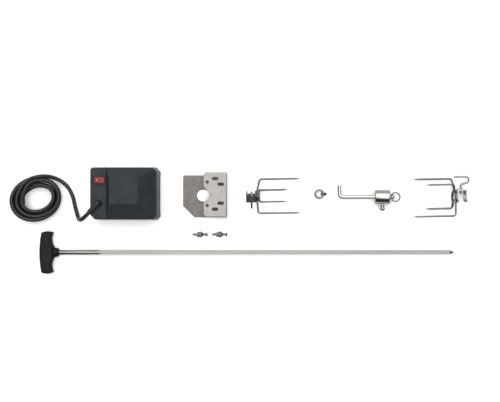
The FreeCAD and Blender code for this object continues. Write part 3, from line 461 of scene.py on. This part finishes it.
def screw_thread(name, start, end, radius, pitch, body, slot_name):
    """Helical ridge of a thread cut on a shaft from start to end."""
    axis = (end - start).normalized()
    side, up = across(axis)
    turns = (end - start).length / pitch
    count = int(turns * THREAD_SIDES)
    vertices, faces = [], []
    for i in range(count + 1):
        angle = 2 * math.pi * i / THREAD_SIDES
        out = math.cos(angle) * side + math.sin(angle) * up
        middle = start + axis * pitch * i / THREAD_SIDES
        fade = smooth(min(i, count - i) / THREAD_SIDES)
        foot, crest = radius - THREAD_ROOT, radius + THREAD_PROUD * fade
        for reach, advance in ((foot, -0.48), (crest, -0.08), (crest, 0.08), (foot, 0.48)):
            vertices.append(middle + out * reach + axis * advance * pitch)
    for i in range(count):
        for k in range(3):
            a = 4 * i + k
            faces.append((a, a + 1, a + 5, a + 4))
    return piece_from(name, vertices, faces, body, slot_name)


def weld_bead(name, centre, along, size, body, slot_name, seed):
    """A small run of weld metal: overlapping ripples along a joint."""
    grid = bmesh.new()
    bmesh.ops.create_icosphere(grid, subdivisions=4, radius=1.0)
    along = along.normalized()
    side, up = across(along)
    for vertex in grid.verts:
        x, y, z = vertex.co
        lumps = noise.noise(Vector((x, y, z)) * 2.2 + Vector((seed, 0, 0)))
        ripple = 1 + 0.1 * math.sin(9 * x + seed) + 0.14 * lumps
        vertex.co = centre + (along * x * size[0] + side * y * size[1] + up * z * size[2]) * ripple
    mesh = bpy.data.meshes.new(name)
    grid.to_mesh(mesh)
    grid.free()
    mesh.polygons.foreach_set("use_smooth", [True] * len(mesh.polygons))
    bead = bpy.data.objects.new(name, mesh)
    bpy.context.scene.collection.objects.link(bead)
    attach(bead, body)
    wear(bead, slot_name)
    return bead


make_cord()

# ---------------------------------------------------------------- strain relief
GLAND = (-305.4, -3.6)
PANEL_Z = 58.0
KNEE_BEND = 0.0042
KNEE_STEPS = 12
SLEEVE_STEPS = 96
SLEEVE_RADIUS = 0.0061      # at the knee, and this much less at the cord's end
SLEEVE_TAPER = 0.0012
GROOVES = 5
GROOVE_DEPTH = 0.0006


def strain_relief():
    """Elbow boot: flange on the panel, knee, then a tapered sleeve with grooves that let it bend."""
    foot = plan(*GLAND, PANEL_Z)
    leave = plan(*BOOT_EXIT)
    knee = Vector((foot.x, foot.y, leave.z))
    ahead = (leave - knee).normalized()
    rise = Vector((0, 0, 1))
    path = [foot + rise * h / 1000 for h in (0.0, 0.3, 1.5, 1.7, 1.7, 2.6)]
    radii = [0.0083, 0.0087, 0.0087, 0.0083, 0.0068, 0.0062]
    for i in range(KNEE_STEPS + 1):
        angle = math.radians(90 * i / KNEE_STEPS)
        path.append(knee + KNEE_BEND * (ahead * (1 - math.cos(angle)) - rise * (1 - math.sin(angle))))
        radii.append(SLEEVE_RADIUS)
    start = path[-1]
    length = (leave - start).length
    for i in range(1, SLEEVE_STEPS + 1):
        share = i / SLEEVE_STEPS
        ring = (share * GROOVES) % 1.0
        rib = smooth(min(1.0, 4 * abs(ring - 0.5) - 0.6)) if 0.08 < share < 0.9 else 1.0
        path.append(start + ahead * length * share)
        radii.append(SLEEVE_RADIUS - SLEEVE_TAPER * share - GROOVE_DEPTH * (1 - rib))
    boot = lathe_along("strain_relief", path, radii, "motor_unit", "cord_rubber", 48)
    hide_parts("cord_boot")
    return boot


strain_relief()


# ---------------------------------------------------------------- threads
BOLT_RADIUS = 0.0021
BOLT_PITCH = 0.001          # as the nut's coupling: 1 mm a turn
CLAMP_RADIUS = 0.00245      # clamp screws, thumbscrew and ring screw
CLAMP_PITCH = 0.0009
ROD_RADIUS = 0.004
ROD_PITCH = 0.0012


def centre_of(name):
    low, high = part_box(name)
    return (low + high) / 2


def joint_line(name):
    joint = joints[name]
    return Vector(joint["pos_m"]), Vector(joint["axis"]).normalized()


for number in (1, 2):
    name = "bolt_%d" % number
    low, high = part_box(name)
    middle = centre_of(name)
    screw_thread(name + "_thread", Vector((low.x + 0.0012, middle.y, middle.z)),
                 Vector((high.x - 0.0052, middle.y, middle.z)), BOLT_RADIUS, BOLT_PITCH, name, "bolt_steel")

for side in ("left", "right"):
    at, out = joint_line("fork_%s_screw_turn" % side)
    screw_thread("fork_%s_screw_thread" % side, at + out * 0.0074, at + out * 0.0188,
                 CLAMP_RADIUS, CLAMP_PITCH, "fork_%s_screw" % side, "clamp_screw_steel")

at, out = joint_line("thumbscrew_turn")
screw_thread("thumbscrew_thread", at - out * 0.013, at - out * 0.0004,
             CLAMP_RADIUS, CLAMP_PITCH, "balance_thumbscrew", "weight_chrome")
low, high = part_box("stop_ring_screw")
middle = centre_of("stop_ring_screw")
screw_thread("stop_ring_screw_thread", Vector((low.x + 0.0003, middle.y, middle.z)),
             Vector((low.x + 0.0064, middle.y, middle.z)),
             CLAMP_RADIUS, CLAMP_PITCH, "stop_ring_screw", "bolt_steel")

# the balance rod's end is threaded into its ring
rod_axis = Vector(joints["weight_slide"]["axis"])
ring_middle = centre_of("balance_ring")
screw_thread("balance_rod_thread", ring_middle - rod_axis * 0.0108, ring_middle - rod_axis * 0.0052,
             ROD_RADIUS, ROD_PITCH, "balance_rod", "rod_steel")

# ---------------------------------------------------------------- welds of the forks
# Each fork's place on the plan, its turn about Z and its roll about the spit's axis, in degrees; each
# pair of tines, bent from one wire, has its own roll on the hub. Welds sit where a wire crosses the hub.
FORKS = (("fork_left", (13.0, 10.2, 25.8), 0.9, -41.4), ("fork_right", (429.7, 8.1, 11.5), 181.2, 0.0))
OUTER_WIRE = (13.4, 0.9, 4.4)       # roll, and the weld's x and z on the fork
INNER_WIRE = (-20.6, 3.9, -4.4)
WELD_REACH = 9.0
WELD_SIZE = (0.0031, 0.0018, 0.0017)


def fork_frame(at, yaw, roll):
    """Fork coordinates in mm, spit axis along X, to the row frame in metres."""
    turn = Matrix.Rotation(math.radians(yaw), 4, "Z") @ Matrix.Rotation(math.radians(roll), 4, "X")
    return Matrix.Translation(plan(*at)) @ turn @ Matrix.Scale(0.001, 4)


for name, at, yaw, roll in FORKS:
    for k, (wire_roll, x, z) in enumerate((OUTER_WIRE, INNER_WIRE)):
        to_row = fork_frame(at, yaw, roll + wire_roll)
        for end in (-1, 1):
            spot = to_row @ Vector((x, end * WELD_REACH, z))
            run = to_row.to_3x3() @ Vector((0, 0.5, -0.86 * end * (1 if z > 0 else -1)))
            weld_bead("%s_weld_%d_%s" % (name, k + 1, "a" if end < 0 else "b"), spot, run,
                      WELD_SIZE, name, "fork_chrome", 3.0 * k + end)

# ---------------------------------------------------------------- switch marks
ROCKER_TURN = math.radians(12.0)    # at rest, about its pin
ROCKER_LOW = 1.0                    # mm over the pin: the middle of the rocker's face, and its ends
ROCKER_HIGH = 2.6
ROCKER_HALF = 10.1
MARK_SUNK = 0.05
MARK_PROUD = 0.12
rocker_at = joint_line("switch_rock")[0]


def switch_mark(name, x, outline):
    """Raised sign on the rocker, x mm from its middle; outline is rings of points in mm."""
    turn = Matrix.Translation(rocker_at) @ Matrix.Rotation(ROCKER_TURN, 4, "Y")
    slope = (ROCKER_HIGH - ROCKER_LOW) / ROCKER_HALF
    vertices, faces = [], []
    for ring in outline:
        for px, py in ring:
            for lift in (-MARK_SUNK, MARK_PROUD):
                height = ROCKER_LOW + abs(x + px) * slope + lift
                vertices.append(turn @ (Vector((x + px, py, height)) / 1000))
    count = len(outline[0])
    for ring in range(len(outline) - 1):
        for i in range(count):
            a = 2 * (ring * count + i)
            b = 2 * (ring * count + (i + 1) % count)
            c, d = a + 2 * count, b + 2 * count
            faces.append((a + 1, b + 1, d + 1, c + 1))
            if ring == 0:
                faces.append((a, b, b + 1, a + 1))
            if ring == len(outline) - 2:
                faces.append((c, c + 1, d + 1, d))
    return piece_from(name, vertices, faces, "switch_rocker", "switch_red")


def circle(radius, wide=1.0, count=28):
    return [(wide * radius * math.cos(2 * math.pi * i / count), radius * math.sin(2 * math.pi * i / count))
            for i in range(count)]


mark_finish = moulded("switch_mark_white", colour(214, 190, 184), 0.35, 2400.0, 0.00001)
switch_mark("switch_mark_off", 5.6, [circle(1.6), circle(1.2)])
on_mark = switch_mark("switch_mark_on", -4.6, [circle(1.7, 0.36), circle(0.05, 0.36)])
coat(on_mark, mark_finish)


# ---------------------------------------------------------------- softened edges of the CAD pieces
def soften(name, width, angle=28.0):
    """Rounds the sharp edges a little, as bending, moulding and plating leave them."""
    node = cad_nodes[name]
    weld = node.modifiers.new("join", "WELD")
    weld.merge_threshold = 0.000005
    bevel = node.modifiers.new("edges", "BEVEL")
    bevel.width = width
    bevel.segments = 2
    bevel.limit_method = "ANGLE"
    bevel.angle_limit = math.radians(angle)
    bevel.harden_normals = True


for name, width in (("front_cover", 0.0005), ("rear_casing", 0.0005), ("switch_bezel", 0.0003),
                    ("bracket", 0.0003), ("fork_left_hub", 0.0004), ("fork_right_hub", 0.0004),
                    ("spit_bar", 0.0003), ("balance_weight", 0.0004), ("plug_body", 0.0004),
                    ("bolt_1_nut", 0.0002), ("bolt_2_nut", 0.0002)):
    soften(name, width)


# ---------------------------------------------------------------- studio
SKY_LEAN = math.radians(17.0)
SKY_STRENGTH = 1.5
FLOOR_Z = -0.0003
DIM_FLOOR = (0.36, 0.36, 0.36, 1.0)


def studio_floor():
    """White paper sweep. Polished metal sees it as dim as the black cards round a product table."""
    grid = bmesh.new()
    bmesh.ops.create_grid(grid, x_segments=24, y_segments=24, size=4.0)
    mesh = bpy.data.meshes.new("studio_floor")
    grid.to_mesh(mesh)
    grid.free()
    floor = bpy.data.objects.new("studio_floor", mesh)
    floor.location = (0, 0, FLOOR_Z)
    bpy.context.scene.collection.objects.link(floor)
    finish = Finish("floor_paper", (0.93, 0.93, 0.93, 1.0), 0.9, specular=0.1)
    paper = finish.ramp(finish.noise(2.0, 2.0),
                        [(0.3, (0.92, 0.92, 0.92, 1)), (0.7, (0.94, 0.94, 0.94, 1))])
    ray = finish.nodes.new("ShaderNodeLightPath").outputs["Is Glossy Ray"]
    finish.paint(finish.mix(ray, paper, DIM_FLOOR))
    mesh.materials.append(finish.material)


def area_light(name, place, aim, size, power):
    data = bpy.data.lights.new(name, "AREA")
    data.shape = "RECTANGLE"
    data.size, data.size_y = size
    data.energy = power
    light = bpy.data.objects.new(name, data)
    light.location = place
    light.rotation_mode = "QUATERNION"
    light.rotation_quaternion = (Vector(aim) - Vector(place)).to_track_quat("-Z", "Y")
    light.visible_glossy = False
    bpy.context.scene.collection.objects.link(light)


def sky_ramp(nodes, levels):
    """Grey levels along a ramp, from (position, level) pairs."""
    ramp = nodes.new("ShaderNodeValToRGB")
    stops = ramp.color_ramp.elements
    stops[0].position, stops[0].color = levels[0][0], (levels[0][1],) * 3 + (1,)
    stops[1].position, stops[1].color = levels[-1][0], (levels[-1][1],) * 3 + (1,)
    for position, level in levels[1:-1]:
        stops.new(position).color = (level,) * 3 + (1,)
    return ramp


def studio_sky():
    """Bright cloth overhead, leaning to the far side; a grey wall there, and black cards at the near side.

    Round metal then shows a grey edge, a white middle and a dark edge, from far side to near side."""
    world = bpy.data.worlds.new("studio")
    world.use_nodes = True
    nodes, links = world.node_tree.nodes, world.node_tree.links
    place = nodes.new("ShaderNodeTexCoord").outputs["Generated"]
    lean = nodes.new("ShaderNodeVectorMath")
    lean.operation = "DOT_PRODUCT"
    lean.inputs[1].default_value = (0.0, math.sin(SKY_LEAN), math.cos(SKY_LEAN))
    links.new(place, lean.inputs[0])
    cloth = sky_ramp(nodes, ((0.0, 0.02), (0.62, 0.04), (0.74, 0.3), (0.84, 0.9), (1.0, 1.0)))
    links.new(lean.outputs["Value"], cloth.inputs["Fac"])
    split = nodes.new("ShaderNodeSeparateXYZ")
    links.new(place, split.inputs["Vector"])
    wall = sky_ramp(nodes, ((0.0, 0.0), (0.45, 0.05), (0.75, 0.3), (1.0, 0.3)))
    links.new(split.outputs["Y"], wall.inputs["Fac"])
    total = nodes.new("ShaderNodeMix")
    total.data_type = "RGBA"
    total.blend_type = "ADD"
    total.inputs["Factor"].default_value = 1.0
    links.new(cloth.outputs["Color"], total.inputs[COLOUR_A])
    links.new(wall.outputs["Color"], total.inputs[COLOUR_B])
    background = nodes["Background"]
    background.inputs["Strength"].default_value = SKY_STRENGTH
    links.new(total.outputs[COLOUR_OUT], background.inputs["Color"])
    bpy.context.scene.world = world


studio_floor()
studio_sky()
area_light("overhead", (0.0, -0.3, 2.6), (0, 0, 0), (3.0, 3.0), 72.0)
area_light("key", (-0.4, 2.0, 1.5), (0, 0, 0), (1.8, 1.0), 16.0)
